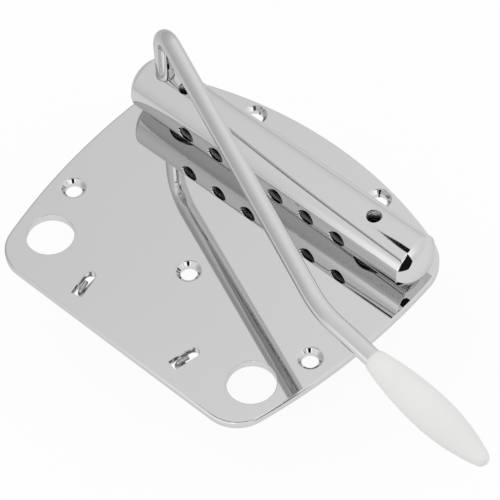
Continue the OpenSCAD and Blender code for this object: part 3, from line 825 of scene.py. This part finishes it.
def add_stage(name, corners, finish):
    """A fan of flat triangles over its corners, in metres, that isn't part of the object."""
    mesh = bpy.data.meshes.new(name)
    mesh.from_pydata(corners, [], [(0, i, i + 1) for i in range(1, len(corners) - 1)])
    mesh.materials.append(finish)
    made = add_object(name, mesh)
    return made


def lay_floor():
    """A wide pale floor just below the feet of the posts. Seen directly or in a mirror it is
    nearly white and keeps a soft shadow, and mirrors see it darker to the west."""
    reach, level = 3.0, -0.026
    made, f = material("pale floor")
    mirrored = f.ray("Glossy")
    grain = f.noise(f.place(), scale=40.0, detail=2.0)
    matt = f.node("ShaderNodeBsdfDiffuse", {}, {"Color": f.blend(grain, grey(0.86), grey(0.88))})
    x, _, _ = f.parts()
    west = mirrored * f.fall(x, -0.25, -0.02)
    white = f.shine("Emission", f.blend(west, grey(1), grey(0.7)))
    lift = f.ray("Camera").or_larger(mirrored) * 0.93
    f.end(f.either(lift, matt, white))
    add_stage("floor", [(-reach, -reach, level), (reach, -reach, level), (reach, reach, level),
                        (-reach, reach, level)], made)


def card(name, corners, glow, fade=None):
    """A card beside the object, in millimetres, that only mirrors see. It glows evenly, and
    fade may give how much of it is there from its own place."""
    made, f = material(name)
    light = f.shine("Emission", grey(glow))
    if fade:
        light = f.either(fade(f), f.node("ShaderNodeBsdfTransparent"), light)
    f.end(light)
    held = add_stage(name, (np.array(corners) * MM).tolist(), made)
    held.visible_camera = held.visible_diffuse = False
    held.visible_shadow = held.visible_transmission = False


def front_fade(f):
    """The bright card fades out to its left, its right and its top."""
    x, _, z = f.parts()
    return f.ramp(x, -0.12, -0.03) * f.fall(x, 0.16, 0.19) * f.fall(z, 0.04, 0.14)


def soft_box(name, spot, size, watts):
    """A square lamp at a place, in metres, turned to face the object."""
    lamp = bpy.data.lights.new(name, "AREA")
    lamp.shape, lamp.size, lamp.energy = "SQUARE", size, watts
    held = add_object(name, lamp)
    held.location = spot
    held.visible_glossy = False
    held.rotation_mode = "QUATERNION"
    aim = Vector((0.02, 0.03, 0))
    held.rotation_quaternion = (aim - held.location).to_track_quat("-Z", "Y")


def set_camera():
    """The photograph's view, fitted to the holes, the plate's outline, the bar and the arm. It
    looks at a point on the plate from a distance in metres."""
    azimuth, elevation, roll = (math.radians(a) for a in (45.42, 53.23, -3.909))
    aim, distance = Vector((7.843, 31.507, PLATE_T)) * MM, 0.72133
    focal_px, picture_px, sensor_mm = 2675.2, 500, 36
    back = Vector((math.sin(azimuth) * math.cos(elevation),
                   -math.cos(azimuth) * math.cos(elevation), math.sin(elevation)))
    level = Vector((math.cos(azimuth), math.sin(azimuth), 0))
    upright = back.cross(level)
    right = math.cos(roll) * level + math.sin(roll) * upright
    up = math.cos(roll) * upright - math.sin(roll) * level
    data = bpy.data.cameras.new("camera")
    data.lens, data.sensor_width = focal_px / picture_px * sensor_mm, sensor_mm
    data.clip_start, data.clip_end = 0.05, 20
    camera = add_object("camera", data)
    turn = Matrix((right, up, back)).transposed().to_4x4()
    camera.matrix_world = Matrix.Translation(aim + back * distance) @ turn
    bpy.context.scene.camera = camera


# ---- The scene ----

add_polished("base_plate", plate_mesh, PLATE_CHROME, "plate")
add_polished("tailpiece_bar", bar_mesh, BAR_CHROME, "bar")
add_arm()
add_posts()
add_springs()
dress_world()
lay_floor()
card("bright card", [(-120, -190, -25), (190, -190, -25), (190, -190, 180), (-120, -190, 180)],
     glow=1.36, fade=front_fade)
# The domed bass end mirrors these corners at the corners of its dark patch
card("dark card", [(200, 40, 20), (170, 10, -25), (126, -35, -25), (133, -24, 14),
                   (144, 2, 46), (176, 28, 93)], glow=0.01)
soft_box("key", (-0.9, -0.5, 1.3), size=0.9, watts=5)
soft_box("fill", (1.1, 0.4, 1.0), size=1.0, watts=2)
set_camera()
bpy.context.scene.view_settings.view_transform = "Standard"
# Light goes to and fro between the bar and the plate more often than the usual limit
bpy.context.scene.cycles.glossy_bounces = 12
